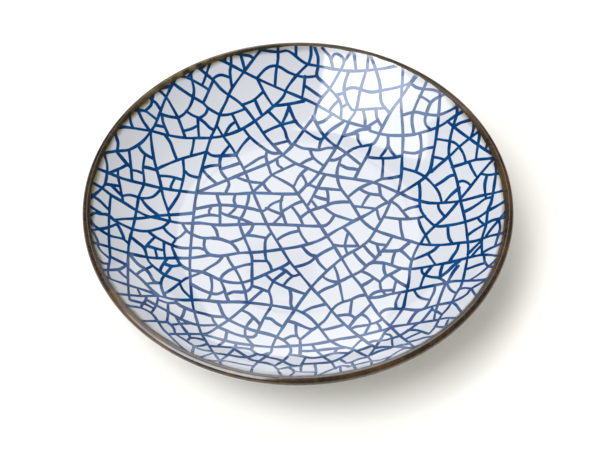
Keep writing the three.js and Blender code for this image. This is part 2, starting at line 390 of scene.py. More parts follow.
UPPER_RIGHT_CRACKS = [
    [(373, 62), (376, 70), (380, 85), (381, 101), (385, 108), (390, 113)],
    [(403, 68), (402, 86), (401, 103), (403, 135), (402, 160), (401, 178), (397, 194), (390, 201)],
    [(410, 84), (400, 99), (390, 113), (381, 130), (374, 143), (364, 146)],
    [(364, 146), (358, 147), (351, 150), (343, 156), (335, 160), (329, 160)],
    [(411, 84), (418, 88), (434, 90), (439, 92)],
    [(423, 90), (416, 105), (412, 118), (414, 135)],
    [(419, 96), (424, 98), (431, 103)],
    [(441, 96), (435, 99), (430, 104), (425, 119), (426, 125), (430, 129)],
    [(440, 94), (438, 122), (436, 138), (433, 155), (430, 170), (424, 178), (411, 187), (396, 196)],
    [(403, 115), (410, 113), (416, 112), (425, 114), (438, 115), (451, 110), (456, 107)],
    [(457, 106), (457, 113), (453, 127), (450, 140), (449, 155), (453, 168), (457, 181), (461, 203)],
    [(465, 110), (455, 116), (440, 126), (420, 133), (410, 135), (387, 135), (370, 131)],
    [(447, 121), (459, 131), (470, 139), (484, 149), (494, 155)],
    [(455, 126), (460, 123), (470, 120)],
    [(474, 125), (473, 131), (471, 137)],
    [(478, 132), (470, 138), (459, 147), (451, 155)],
    [(376, 110), (377, 118), (382, 127)],
    [(367, 127), (378, 120)],
    [(371, 145), (369, 152), (363, 163), (360, 168), (355, 178)],
    [(368, 157), (375, 158), (391, 158), (401, 156)],
    [(383, 158), (383, 165), (382, 178)],
    [(388, 136), (388, 145), (385, 151), (381, 156)],
    [(388, 145), (391, 151), (395, 156)],
    [(420, 134), (421, 141), (421, 150), (418, 165), (416, 171)],
    [(404, 152), (410, 153), (416, 153), (425, 149), (434, 147)],
    [(402, 168), (409, 170), (416, 172), (425, 177), (435, 187), (439, 193), (442, 203)],
    [(375, 182), (382, 179), (391, 178), (401, 176)],
    [(436, 139), (443, 140), (455, 143), (463, 153), (466, 163)],
    [(489, 141), (486, 148)],
    [(478, 145), (477, 151), (476, 159)],
    [(452, 167), (459, 165), (475, 160), (484, 159), (494, 158)],
    [(469, 162), (472, 169), (476, 176)],
    [(494, 159), (489, 164), (478, 177), (467, 191), (461, 198)],
    [(482, 174), (488, 175), (495, 174)],
    [(487, 175), (485, 183), (485, 191), (486, 198)],
    [(458, 182), (463, 181), (468, 183), (471, 186)],
    [(455, 175), (450, 176), (443, 181), (435, 186)],
    [(433, 157), (439, 158), (445, 160)],
    [(449, 156), (445, 160), (439, 165), (431, 172)],
    [(459, 188), (451, 195), (444, 203)],
]
RIGHT_WALL_CRACKS = [
    [(402, 194), (410, 198), (420, 201), (430, 203), (441, 203), (460, 201), (480, 196), (498, 192)],
    [(419, 182), (420, 191), (420, 207), (423, 214), (428, 220), (436, 226), (451, 225), (465, 222)],
    [(465, 222), (471, 220), (479, 217), (488, 211), (502, 203)],
    [(461, 203), (465, 220), (468, 244), (468, 253), (466, 266), (461, 286), (456, 294), (452, 302)],
    [(495, 163), (496, 170), (494, 187), (491, 203), (488, 210), (486, 225), (482, 239), (482, 253)],
    [(464, 212), (470, 209), (478, 204), (485, 199), (492, 197)],
    [(438, 203), (439, 209), (445, 217)],
    [(457, 203), (445, 217), (435, 226), (425, 236), (421, 243)],
    [(478, 218), (480, 221), (485, 225)],
    [(468, 235), (475, 230), (491, 221), (502, 218)],
    [(498, 221), (492, 228), (486, 236)],
    [(499, 220), (500, 228), (497, 240), (495, 246)],
    [(361, 219), (366, 224), (375, 230), (392, 236), (410, 241), (420, 244), (441, 245)],
    [(441, 245), (459, 243), (475, 241), (490, 236), (499, 234)],
    [(418, 218), (421, 227), (426, 236), (430, 244)],
    [(448, 226), (448, 231), (449, 238), (452, 243)],
    [(439, 245), (434, 250), (427, 254), (412, 260)],
    [(428, 254), (430, 257), (435, 264)],
    [(459, 243), (457, 250), (453, 256), (449, 262)],
    [(384, 263), (391, 265), (400, 268), (410, 269), (420, 268), (435, 265)],
    [(435, 265), (451, 262), (467, 258), (481, 255), (490, 255), (498, 256)],
    [(468, 254), (474, 248), (480, 242)],
    [(472, 256), (476, 251), (481, 246)],
    [(482, 253), (489, 249), (498, 245)],
    [(484, 256), (485, 262), (488, 266), (492, 267)],
    [(485, 263), (478, 265), (467, 269)],
    [(488, 267), (482, 272), (475, 277), (470, 280)],
    [(422, 268), (422, 272), (425, 275), (431, 277), (439, 278), (447, 283)],
    [(432, 266), (425, 275), (423, 279), (420, 288)],
    [(443, 264), (441, 270), (440, 276)],
    [(460, 261), (453, 266), (447, 272), (440, 277)],
    [(458, 266), (454, 271), (451, 276), (448, 282)],
    [(419, 244), (415, 252), (412, 260), (410, 269), (409, 280), (405, 300), (403, 308), (390, 326)],
    [(369, 298), (379, 297), (391, 294), (408, 291), (421, 288), (441, 284), (456, 281), (487, 279)],
    [(400, 293), (396, 302), (396, 308)],
    [(414, 290), (417, 295), (421, 298), (430, 300)],
    [(435, 286), (434, 292), (431, 298), (425, 308), (418, 311), (413, 316), (408, 324)],
    [(445, 285), (441, 295), (438, 304), (435, 314), (434, 320)],
    [(447, 283), (449, 288), (452, 291), (456, 293)],
    [(459, 289), (465, 288), (471, 289), (474, 293)],
    [(481, 283), (471, 289), (467, 294), (461, 298), (452, 302)],
    [(452, 302), (456, 305), (459, 309)],
    [(451, 303), (448, 308), (441, 316), (435, 327), (429, 334)],
    [(432, 307), (433, 310), (436, 311), (441, 314)],
    [(432, 309), (428, 314), (421, 322), (417, 324), (409, 330), (399, 336), (393, 338)],
    [(440, 319), (447, 318), (455, 318)],
    [(435, 326), (440, 327), (447, 327)],
    [(448, 320), (446, 325)],
]
NEAR_WALL_CRACKS = [
    [(120, 294), (129, 295), (140, 296), (158, 296), (172, 299), (182, 300), (200, 300), (220, 302)],
    [(220, 302), (240, 302), (261, 304), (282, 307), (296, 310), (308, 316), (318, 326), (329, 340)],
    [(329, 340), (340, 346), (352, 349), (364, 355), (368, 357), (371, 361), (372, 366)],
    [(201, 333), (207, 343), (213, 352), (219, 360), (221, 364)],
    [(130, 300), (138, 302), (145, 304), (153, 308)],
    [(146, 297), (146, 300), (142, 305), (141, 308)],
    [(147, 300), (154, 304), (167, 311), (177, 317), (185, 321), (198, 325), (216, 325)],
    [(130, 306), (141, 308), (151, 313), (157, 320), (163, 329), (169, 335), (173, 339)],
    [(158, 296), (157, 303), (154, 309), (151, 313)],
    [(159, 300), (168, 303), (176, 303), (181, 306), (193, 311), (205, 314), (212, 316), (225, 317)],
    [(168, 303), (168, 308), (168, 314), (167, 322)],
    [(175, 299), (177, 303)],
    [(185, 308), (183, 315), (181, 318)],
    [(145, 321), (156, 321), (161, 322), (167, 322)],
    [(167, 322), (171, 325), (174, 329), (176, 334), (185, 340), (194, 346)],
    [(171, 325), (178, 324), (191, 323)],
    [(176, 317), (179, 322), (185, 330), (190, 337), (188, 340)],
    [(212, 316), (213, 320), (218, 327)],
    [(218, 302), (220, 307), (225, 317), (235, 323), (252, 330), (271, 335), (283, 340), (290, 346)],
    [(290, 346), (291, 351), (289, 355), (283, 361)],
    [(249, 303), (241, 310), (230, 319), (218, 327), (208, 333), (203, 334)],
    [(203, 334), (189, 334), (176, 334), (169, 334)],
    [(218, 327), (225, 330), (238, 335), (248, 337), (253, 337), (256, 335)],
    [(227, 331), (226, 336), (225, 340), (218, 346)],
    [(202, 334), (216, 338), (231, 342), (250, 345), (272, 347), (291, 346), (315, 344), (340, 339)],
    [(340, 339), (359, 336), (375, 332), (387, 329), (391, 327)],
    [(190, 338), (195, 338), (204, 340)],
    [(194, 346), (200, 346), (207, 344)],
    [(194, 346), (193, 350)],
    [(197, 348), (203, 350), (210, 351)],
    [(213, 353), (207, 355), (201, 357)],
    [(210, 346), (224, 347), (249, 349), (257, 354), (263, 355), (268, 353)],
    [(213, 353), (229, 355), (240, 357), (248, 357), (255, 355)],
    [(236, 344), (235, 348), (231, 352), (221, 360)],
    [(220, 361), (226, 361), (241, 364), (253, 366)],
    [(241, 310), (248, 313), (254, 318), (258, 322), (260, 325)],
    [(253, 318), (246, 327), (245, 332), (246, 337), (253, 345)],
    [(265, 318), (271, 319), (276, 323), (283, 327)],
    [(276, 338), (272, 347), (271, 352), (261, 360), (257, 363), (253, 367), (251, 372)],
    [(288, 321), (295, 323), (310, 329), (314, 329)],
    [(296, 325), (296, 331), (297, 336), (300, 340), (300, 356)],
    [(283, 340), (287, 338), (292, 336), (297, 336)],
    [(317, 327), (311, 331), (306, 335), (301, 339)],
    [(326, 304), (318, 306), (311, 308), (303, 312)],
    [(365, 295), (359, 296), (350, 300), (343, 302), (337, 305), (332, 310), (325, 320), (318, 326)],
    [(332, 311), (340, 320), (350, 329), (360, 337), (371, 345), (375, 347)],
    [(352, 300), (351, 306), (350, 314)],
    [(337, 316), (343, 315), (350, 315), (355, 318)],
    [(321, 330), (328, 329), (336, 327), (343, 325)],
    [(312, 344), (315, 349), (325, 358), (331, 362), (336, 369)],
    [(301, 351), (310, 351), (330, 349), (344, 348)],
    [(291, 355), (301, 356), (311, 358), (321, 357), (331, 354), (338, 353), (347, 353)],
    [(337, 349), (335, 352)],
    [(306, 357), (303, 362), (301, 367), (301, 372)],
    [(302, 364), (322, 363), (331, 362), (341, 358), (352, 351)],
    [(315, 365), (316, 371), (315, 376)],
    [(253, 346), (251, 349)],
    [(236, 350), (247, 357), (252, 360), (258, 361)],
    [(267, 357), (280, 360), (291, 365), (301, 366)],
    [(283, 361), (275, 366), (276, 368), (279, 369), (289, 367), (297, 366)],
    [(277, 368), (279, 372), (282, 376)],
    [(288, 367), (294, 371), (290, 376)],
    [(293, 371), (301, 372), (315, 372)],
    [(258, 362), (266, 363), (275, 366)],
    [(340, 359), (343, 361), (348, 363), (359, 359), (368, 357)],
    [(370, 305), (361, 314), (356, 318), (349, 327)],
    [(361, 314), (365, 316), (369, 320), (370, 324), (368, 328), (364, 335)],
    [(370, 324), (375, 323), (381, 320)],
    [(377, 323), (380, 327), (380, 330)],
    [(351, 329), (355, 327), (361, 326), (368, 325)],
    [(379, 315), (383, 311), (389, 309), (404, 309), (419, 310), (437, 305), (453, 302)],
    [(391, 327), (397, 326), (411, 324), (424, 322), (437, 320)],
    [(391, 327), (399, 335), (408, 342), (414, 347)],
    [(390, 328), (385, 332), (382, 337), (375, 348), (368, 357)],
    [(363, 339), (359, 342), (352, 349)],
    [(385, 334), (390, 335), (392, 338), (392, 342), (393, 347)],
    [(368, 343), (374, 341), (386, 340), (392, 338)],
    [(357, 351), (366, 348), (371, 346)],
    [(376, 348), (383, 347), (401, 347), (409, 348)],
    [(394, 347), (401, 345), (409, 344)],
    [(371, 355), (377, 352), (383, 350), (391, 348)],
    [(408, 348), (403, 349), (394, 354), (390, 357)],
    [(372, 361), (380, 360), (389, 357)],
    [(348, 367), (355, 365), (371, 361)],
    [(351, 362), (354, 366), (356, 370)],
    [(343, 357), (346, 355), (352, 351)],
    [(336, 368), (340, 366), (348, 366)],
    [(340, 367), (341, 372)],
    [(336, 368), (328, 371), (321, 374)],
    [(408, 330), (414, 330), (420, 331), (429, 334)],
    [(406, 339), (412, 336), (421, 332)],
    [(408, 342), (417, 340), (423, 338), (428, 337)],
]
ALL_CRACKS = (
    BACK_WALL_CRACKS + UPPER_LEFT_CRACKS + LEFT_WALL_CRACKS + FLOOR_CRACKS
    + UPPER_RIGHT_CRACKS + RIGHT_WALL_CRACKS + NEAR_WALL_CRACKS
)


# Section of the plate, read from the frame as (radius, height)
def section_points(node):
    """The section points that a turned node's vertices lie on."""
    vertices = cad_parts[node].data.vertices
    flat = [(math.hypot(v.co.x, v.co.y), v.co.z) for v in vertices]
    return {(round(radius, PLACE_DIGITS), round(height, PLACE_DIGITS)) for radius, height in flat}


inside_points = section_points("inside_glaze")
floor_height = max(height for radius, height in inside_points if radius < MM)
floor_radius = max(radius for radius, height in inside_points if abs(height - floor_height) < LEVEL)
glaze_end = max(inside_points, key=lambda point: point[1])
glaze_end_angle = 2 * math.atan2(glaze_end[1] - floor_height, glaze_end[0] - floor_radius)
wall_radius = (glaze_end[0] - floor_radius) / math.sin(glaze_end_angle)
wall_centre = Vector((floor_radius, floor_height + wall_radius))

rim_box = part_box("iron_edge")[1]
rim_radius = rim_box.x
lip_centre = Vector((rim_radius - LIP_ROUND, rim_box.z - LIP_ROUND))
lip_reach = (lip_centre - wall_centre).length
lip_angle = math.atan2(lip_centre.x - wall_centre.x, wall_centre.y - lip_centre.y)
half_lip = math.pi / 2 * LIP_ROUND
lip_length = (floor_radius + wall_radius * lip_angle) / MM  # millimetres along the glaze from the axis
line_end = lip_length + RIM_PASS / MM  # and to the end of a line that runs under the iron


def about_wall_centre(angle, reach):
    """A section point at an angle up from the wall's spring and a reach from the wall's centre."""
    return wall_centre + reach * Vector((math.sin(angle), -math.cos(angle)))


def wall_point(angle, lift):
    """A section point on the inside of the wall, with a lift off the glaze."""
    return about_wall_centre(angle, wall_radius - lift)


def lip_point(distance, lift):
    """A section point with a lift off the lip's face. The distance runs from the crown, inside negative."""
    if distance < -half_lip:
        return wall_point(lip_angle + (distance + half_lip) / wall_radius, lift)
    if distance > half_lip:
        down = distance - half_lip
        reach = lip_reach + LIP_ROUND + OUTSIDE_TAPER * down + lift
        return about_wall_centre(lip_angle - down / reach, reach)
    turn = distance / LIP_ROUND
    up_the_wall = Vector((math.cos(lip_angle), math.sin(lip_angle)))
    outward = Vector((math.sin(lip_angle), -math.cos(lip_angle)))
    return lip_centre + (LIP_ROUND + lift) * (math.cos(turn) * up_the_wall + math.sin(turn) * outward)


def outline(node):
    """The section of a turned node along +X, as (radius, height) points in order."""
    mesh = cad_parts[node].data
    place = [(round(v.co.x, PLACE_DIGITS), round(v.co.z, PLACE_DIGITS)) for v in mesh.vertices]
    is_cut = [abs(v.co.y) < SAME_PLACE and v.co.x > -SAME_PLACE for v in mesh.vertices]
    beside = {}
    for edge in mesh.edges:
        a, b = edge.vertices
        if is_cut[a] and is_cut[b] and place[a] != place[b]:
            beside.setdefault(place[a], set()).add(place[b])
            beside.setdefault(place[b], set()).add(place[a])
    walk = [min(beside, key=lambda point: (len(beside[point]), point))]
    while True:
        onward = sorted(beside[walk[-1]] - set(walk))
        if not onward:
            return [Vector(point) for point in walk]
        walk.append(onward[0])


def filleted(points, radius, is_ring):
    """A section with its sharp corners rounded. The ends of an open section stay as they are."""
    made = []
    for place, point in enumerate(points):
        is_end = not is_ring and place in (0, len(points) - 1)
        before = points[place - 1] - point
        after = points[(place + 1) % len(points)] - point
        if is_end or math.pi - before.angle(after) < CORNER:
            made.append(point)
            continue
        start = point + before.normalized() * min(radius, before.length / FILLET_LIMIT)
        end = point + after.normalized() * min(radius, after.length / FILLET_LIMIT)
        handles = start.lerp(point, FILLET_PULL), end.lerp(point, FILLET_PULL)
        made += interpolate_bezier(start, *handles, end, FILLET_STEPS)
    return made


# Making pieces
def add_object(name, data):
    """A new object in the scene."""
    made = bpy.data.objects.new(name, data)
    bpy.context.scene.collection.objects.link(made)
    return made


def piece(name, vertices, faces, material):
    """A smooth-shaded object of the plate that rides on its one body."""
    mesh = bpy.data.meshes.new(name)
    mesh.from_pydata(vertices, [], faces)
    shaped = bmesh.new()
    shaped.from_mesh(mesh)
    bmesh.ops.remove_doubles(shaped, verts=shaped.verts, dist=SAME_PLACE)
    bmesh.ops.recalc_face_normals(shaped, faces=shaped.faces)
    shaped.to_mesh(mesh)
    shaped.free()
    mesh.shade_smooth()
    mesh.set_sharp_from_angle(angle=SHARP)
    mesh.materials.append(material)
    made = add_object(name, mesh)
    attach(made, "root")
    return made


def dressed(name, vertices, faces, material, node):
    """A piece that stands for a CAD node, which it hides, in the finish it is given."""
    made = piece(name, vertices, faces, material)
    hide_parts(node)
    return made


def around(section, bearing):
    """Section points stood up at a bearing round the plate's axis."""
    return [(r * math.cos(bearing), r * math.sin(bearing), z) for r, z in section]


def band_faces(rows, columns, is_ring):
    """Quads between neighbouring rows of points, which close on themselves as rings of rows do."""
    across = columns if is_ring else columns - 1
    faces = []
    for row in range(rows):
        here, there = row * columns, (row + 1) % rows * columns
        for column in range(across):
            beyond = (column + 1) % columns
            faces.append((here + column, there + column, there + beyond, here + beyond))
    return faces


def turned(section, is_ring, segments=TURN_SEGMENTS):
    """Vertices and faces of a section revolved about the plate's axis."""
    vertices = []
    for segment in range(segments):
        vertices += around(section, 2 * math.pi * segment / segments)
    return vertices, band_faces(segments, len(section), is_ring)


# Shader nodes
def shader_tree(name):
    """A new node material, its tree and its shader."""
    material = bpy.data.materials.new(name)
    material.use_nodes = True
    return material, material.node_tree, material.node_tree.nodes["Principled BSDF"]


def add_node(tree, kind, inputs, **settings):
    """A shader node with its settings and its inputs, each a value or a socket to link."""
    made = tree.nodes.new(kind)
    for name, value in settings.items():
        setattr(made, name, value)
    for name, value in inputs.items():
        if isinstance(value, bpy.types.NodeSocket):
            tree.links.new(value, made.inputs[name])
        else:
            made.inputs[name].default_value = value
    return made


def place_on_object(tree):
    """Where a surface point lies on the plate, in metres."""
    return tree.nodes.new("ShaderNodeTexCoord").outputs["Object"]


def cloud(tree, waves, detail=3.0, rough=0.55, distortion=0.0):
    """Soft noise from 0 to 1 over the plate, with so many waves per metre."""
    inputs = {"Vector": place_on_object(tree), "Scale": waves, "Detail": detail, "Roughness": rough}
    inputs["Distortion"] = distortion
    return add_node(tree, "ShaderNodeTexNoise", inputs).outputs["Fac"]


def ramp(tree, factor, stops):
    """Colours along a factor, given as (place, (red, green, blue)) stops."""
    made = add_node(tree, "ShaderNodeValToRGB", {"Fac": factor})
    elements = made.color_ramp.elements
    while len(elements) < len(stops):
        elements.new(0.5)
    for element, (place, colour) in zip(elements, stops):
        element.position = place
        element.color = (*colour, 1.0)
    return made.outputs["Color"]


def mixed(tree, factor, first, second):
    """One colour socket faded into another."""
    made = tree.nodes.new("ShaderNodeMix")
    made.data_type = "RGBA"
    sockets = {socket.identifier: socket for socket in made.inputs}
    tree.links.new(factor, sockets["Factor_Float"])
    tree.links.new(first, sockets["A_Color"])
    tree.links.new(second, sockets["B_Color"])
    return next(socket for socket in made.outputs if socket.identifier == "Result_Color")


def spread(tree, value, low, high, to_low=0.0, to_high=1.0):
    """A value mapped from one range to another and held inside it."""
    inputs = {"Value": value, "From Min": low, "From Max": high, "To Min": to_low, "To Max": to_high}
    return add_node(tree, "ShaderNodeMapRange", inputs).outputs["Result"]


def maths(tree, operation, first, second):
    """A maths node on two values or sockets."""
    made = add_node(tree, "ShaderNodeMath", {0: first, 1: second}, operation=operation)
    return made.outputs["Value"]


def radius_on_plate(tree):
    """How far a surface point lies from the plate's axis."""
    inputs = {0: place_on_object(tree), 1: (1, 1, 0)}
    level = add_node(tree, "ShaderNodeVectorMath", inputs, operation="MULTIPLY").outputs["Vector"]
    return add_node(tree, "ShaderNodeVectorMath", {0: level}, operation="LENGTH").outputs["Value"]


def bumped(tree, shader, height, distance):
    """Relief on a shader from a height of 0 to 1 that stands for a distance in metres."""
    bump = add_node(tree, "ShaderNodeBump", {"Height": height, "Strength": 1.0, "Distance": distance})
    tree.links.new(bump.outputs["Normal"], shader.inputs["Normal"])


# Finishes
CLOUD_RANGE = (0.3, 0.7)  # most of a cloud's values
GLAZE_IOR = 1.55
GLAZE_ROUGHNESS = (0.05, 0.09)
PEEL_WAVES = 160.0  # per metre, of the glaze's faint orange peel
PEEL_RELIEF = 0.006 * MM
STAIN_WAVES = 130.0  # per metre, of the edge of the iron's stain in the glaze
STAIN_WANDER = 2.0 * MM  # how far that edge wanders
STAIN_BEGINS = 0.4 * MM  # inside the iron's edge
STAIN_FULL = 0.9 * MM  # outside it
IRON_IOR = 1.6
IRON_ROUGHNESS = (0.08, 0.18)
IRON_RELIEF = 0.02 * MM
BISCUIT_ROUGHNESS = (0.75, 0.92)
BISCUIT_RELIEF = 0.03 * MM


def uneven_roughness(tree, shader, waves, limits):
    """Roughness on a shader that comes and goes between two limits."""
    tree.links.new(spread(tree, cloud(tree, waves), *CLOUD_RANGE, *limits), shader.inputs["Roughness"])


def glaze_gloss(tree, shader):
    """The gloss that the clear glaze gives to what lies under it."""
    uneven_roughness(tree, shader, waves=420.0, limits=GLAZE_ROUGHNESS)
    shader.inputs["IOR"].default_value = GLAZE_IOR
    bumped(tree, shader, cloud(tree, PEEL_WAVES, detail=1.0), PEEL_RELIEF)


def near_bearing(tree, bearing, outer, inner):
    """How near a point of the rim lies to a bearing: 0 at an angle of outer from it and 1 at inner."""
    inputs = {0: place_on_object(tree), 1: (math.cos(bearing), math.sin(bearing), 0)}
    along = add_node(tree, "ShaderNodeVectorMath", inputs, operation="DOT_PRODUCT").outputs["Value"]
    return spread(tree, along, math.cos(outer) * rim_radius, math.cos(inner) * rim_radius)


def iron_run(tree):
    """How much of the iron edge has run into the glaze at a point, from none at 0 to all at 1."""
    offset = maths(tree, "MULTIPLY", cloud(tree, STAIN_WAVES), STAIN_WANDER)
    radius = maths(tree, "ADD", radius_on_plate(tree), offset)
    iron_line = lip_point(-half_lip - IRON_INSIDE, 0).x
    run = spread(tree, radius, iron_line - STAIN_BEGINS, iron_line + STAIN_FULL)
    short = near_bearing(tree, SHORT_BEARING, *STAIN_FADE)
    share = spread(tree, short, low=0.0, high=1.0, to_low=1.0, to_high=SHORT_STAIN)
    return maths(tree, "MULTIPLY", run, share)


def clear_glaze_material():
    """Blue-white glazed porcelain, stained where the iron edge has run into it."""
    material, tree, shader = shader_tree("clear_glaze")
    whites = [(0.3, (0.584, 0.605, 0.637)), (0.7, (0.607, 0.626, 0.656))]
    stains = [(0.35, (0.11, 0.085, 0.03)), (0.65, (0.21, 0.185, 0.075))]
    white = ramp(tree, cloud(tree, waves=38.0), whites)
    stain = ramp(tree, cloud(tree, waves=90.0), stains)
    tree.links.new(mixed(tree, iron_run(tree), white, stain), shader.inputs["Base Color"])
    glaze_gloss(tree, shader)
    return material


def cobalt_material():
    """Cobalt under the clear glaze, thicker in some strokes than in others."""
    material, tree, shader = shader_tree("cobalt_line")
    blues = [(0.3, (0.001, 0.032, 0.13)), (0.55, (0.003, 0.053, 0.178)), (0.75, (0.008, 0.084, 0.245))]
    darks = [(0.35, (0.008, 0.016, 0.022)), (0.65, (0.014, 0.022, 0.026))]
    blue = ramp(tree, cloud(tree, waves=240.0), blues)
    browned = ramp(tree, cloud(tree, waves=200.0), darks)
    tree.links.new(mixed(tree, iron_run(tree), blue, browned), shader.inputs["Base Color"])
    glaze_gloss(tree, shader)
    return material


def iron_material():
    """Glossy iron-brown glaze, mottled from near black to ochre."""
    material, tree, shader = shader_tree("iron_glaze")
    patches = [(0.32, (0.013, 0.011, 0.008)), (0.5, (0.04, 0.026, 0.015)), (0.68, (0.13, 0.078, 0.027))]
    flecks = [(0.35, (0.022, 0.015, 0.012)), (0.65, (0.10, 0.058, 0.024))]
    ochres = [(0.35, (0.1, 0.07, 0.026)), (0.65, (0.17, 0.15, 0.062))]
    large = ramp(tree, cloud(tree, waves=55.0, detail=4.0, distortion=0.4), patches)
    small = ramp(tree, cloud(tree, waves=620.0), flecks)
    blend = spread(tree, cloud(tree, waves=300.0), low=0.4, high=0.6, to_low=0.15, to_high=0.6)
    brown = mixed(tree, blend, large, small)
    ochre = ramp(tree, cloud(tree, waves=260.0), ochres)
    thick = near_bearing(tree, OCHRE_BEARING, *OCHRE_FADE)
    patchy = spread(tree, cloud(tree, waves=300.0), low=0.38, high=0.56, to_low=0.1, to_high=1.0)
    run_ochre = maths(tree, "MULTIPLY", thick, patchy)
    tree.links.new(mixed(tree, run_ochre, brown, ochre), shader.inputs["Base Color"])
    short = near_bearing(tree, SHORT_BEARING, *GLOSS_FADE)
    gloss = spread(tree, short, low=0.0, high=1.0, to_low=IRON_GLOSS, to_high=SHORT_GLOSS)
    tree.links.new(gloss, shader.inputs["Specular IOR Level"])
    uneven_roughness(tree, shader, waves=500.0, limits=IRON_ROUGHNESS)
    shader.inputs["IOR"].default_value = IRON_IOR
    bumped(tree, shader, cloud(tree, waves=380.0), IRON_RELIEF)
    return material


def biscuit_material():
    """Bare fired porcelain: warm white, matt, with fine grit."""
    material, tree, shader = shader_tree("porcelain_biscuit")
    tones = [(0.35, (0.68, 0.63, 0.55)), (0.6, (0.78, 0.755, 0.70))]
    warm = ramp(tree, cloud(tree, waves=260.0, detail=6.0, rough=0.7), tones)
    tree.links.new(warm, shader.inputs["Base Color"])
    uneven_roughness(tree, shader, waves=900.0, limits=BISCUIT_ROUGHNESS)
    bumped(tree, shader, cloud(tree, waves=2200.0, detail=4.0), BISCUIT_RELIEF)
    return material


clear_glaze = clear_glaze_material()
iron_glaze = iron_material()
biscuit = biscuit_material()


# Inside glaze
def inside_glaze():
    """The glaze over the floor and the inside of the wall, up under the iron edge."""
    face = [Vector((floor_radius * ring / FLOOR_RINGS, floor_height)) for ring in range(FLOOR_RINGS)]
    under = [point - Vector((0, CLEAR_DEPTH)) for point in face]
    angles = [lip_angle * ring / WALL_RINGS for ring in range(WALL_RINGS + 1)]
    face += [wall_point(angle, 0) for angle in angles]
    under += [wall_point(angle, -CLEAR_DEPTH) for angle in angles]
    rises = [CLEAR_RISE * (ring + 1) / LIP_RINGS - half_lip for ring in range(LIP_RINGS)]
    face += [lip_point(rise, 0) for rise in rises]
    under += [lip_point(rise, -CLEAR_DEPTH) for rise in rises]
    vertices, faces = turned(face + under[::-1], is_ring=False)
    return dressed("inside_glaze_coat", vertices, faces, clear_glaze, "inside_glaze")


inside_coat = inside_glaze()


# Iron edge
def wander(bearing, seed):
    """A smooth wandering from about -1 to 1 round the lip."""
    x, y = math.cos(bearing), math.sin(bearing)
    slow = noise.noise(Vector((SLOW_WAVES * x, SLOW_WAVES * y, seed)))
    quick = noise.noise(Vector((QUICK_WAVES * x, QUICK_WAVES * y, seed)))
    return SLOW_SHARE * slow + QUICK_SHARE * quick


def iron_section(bearing):
    """The iron's section at a bearing: its face from inside to outside and its back the other way."""
    lean = IRON_LEAN * (1 + math.cos(bearing)) / 2
    short = IRON_SHORT * max(0.0, math.cos(bearing - SHORT_BEARING)) ** SHORT_POWER
    inner = -half_lip - IRON_INSIDE - lean + short - IRON_RAGGED * wander(bearing, INNER_SEED)
    outer = half_lip + IRON_OUTSIDE + IRON_RAGGED * wander(bearing, OUTER_SEED)
    face = []
    back = []
    for step in range(IRON_STEPS + 1):
        distance = inner + (outer - inner) * step / IRON_STEPS
        edge = min(distance - inner, outer - distance)
        full = min(1.0, edge / IRON_FEATHER)
        face.append(lip_point(distance, (IRON_PROUD + IRON_TUCK) * math.sin(full * math.pi / 2) - IRON_TUCK))
        back.append(lip_point(distance, -IRON_DEPTH))
    return face + back[::-1]


def iron_edge():
    """The iron-brown glaze that wraps the lip."""
    vertices = []
    for segment in range(LIP_SEGMENTS):
        bearing = 2 * math.pi * segment / LIP_SEGMENTS
        vertices += around(iron_section(bearing), bearing)
    faces = band_faces(LIP_SEGMENTS, len(vertices) // LIP_SEGMENTS, is_ring=True)
    return dressed("iron_lip", vertices, faces, iron_glaze, "iron_edge")


iron_edge()


# Outside glaze, base glaze and foot
def dressed_turning(name, node, radius, material):
    """A CAD ring or disc turned finer, with its corners softened."""
    points = outline(node)
    is_ring = points[0].x > SAME_PLACE
    vertices, faces = turned(filleted(points, radius, is_ring), is_ring)
    return dressed(name, vertices, faces, material, node)


dressed_turning("outside_glaze_coat", "outside_glaze", COAT_FILLET, clear_glaze)
dressed_turning("base_glaze_coat", "base_glaze", COAT_FILLET, clear_glaze)
dressed_turning("turned_foot", "foot_ring", FOOT_FILLET, biscuit)


# Porcelain body
def biscuit_body():
    """The CAD body itself, in bare biscuit under its coats."""
    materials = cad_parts["porcelain_body"].data.materials
    materials.clear()
    materials.append(biscuit)


biscuit_body()


# Camera
def add_camera():
    """The photograph's camera, aimed so that the plate takes its place in the frame."""
    data = bpy.data.cameras.new("camera")
    data.sensor_width = SENSOR_WIDTH
    data.lens = LENS
    camera = add_object("camera", data)
    back = Vector((0, -math.cos(CAMERA_ELEVATION), math.sin(CAMERA_ELEVATION)))
    camera.location = Vector((0, 0, lip_centre.y)) + CAMERA_DISTANCE * back
    sight = Vector((AIM_RIGHT, AIM_FORWARD, lip_centre.y)) - camera.location
    camera.rotation_mode = "QUATERNION"
    camera.rotation_quaternion = sight.to_track_quat("-Z", "Y")
    bpy.context.scene.camera = camera
    return camera


camera = add_camera()


# Ice-crackle net
def glaze_points(pixels):
    """Where photograph pixels fall on the inside glaze, on a flat map of it in millimetres.

    The map keeps bearings and the distance from the axis along the glaze. A pixel beyond the glaze stands
    for the nearest end of a line under the iron.
    """
    found = []
    for x, y in pixels:
        ray = Vector((x - PHOTO_WIDTH / 2, PHOTO_HEIGHT / 2 - y, -FOCAL)).normalized()
        sight = camera.rotation_quaternion @ ray
        hit = inside_tree.ray_cast(camera.location, sight)[0]
        if hit is None:
            crossing = camera.location + sight * (lip_centre.y - camera.location.z) / sight.z
            found.append(crossing.to_2d().normalized() * line_end)
            continue
        radius = math.hypot(hit.x, hit.y)
        length = radius
        if radius > floor_radius:
            length = floor_radius + wall_radius * math.asin((radius - floor_radius) / wall_radius)
        found.append(Vector((hit.x, hit.y)) / radius * min(length / MM, line_end))
    return found


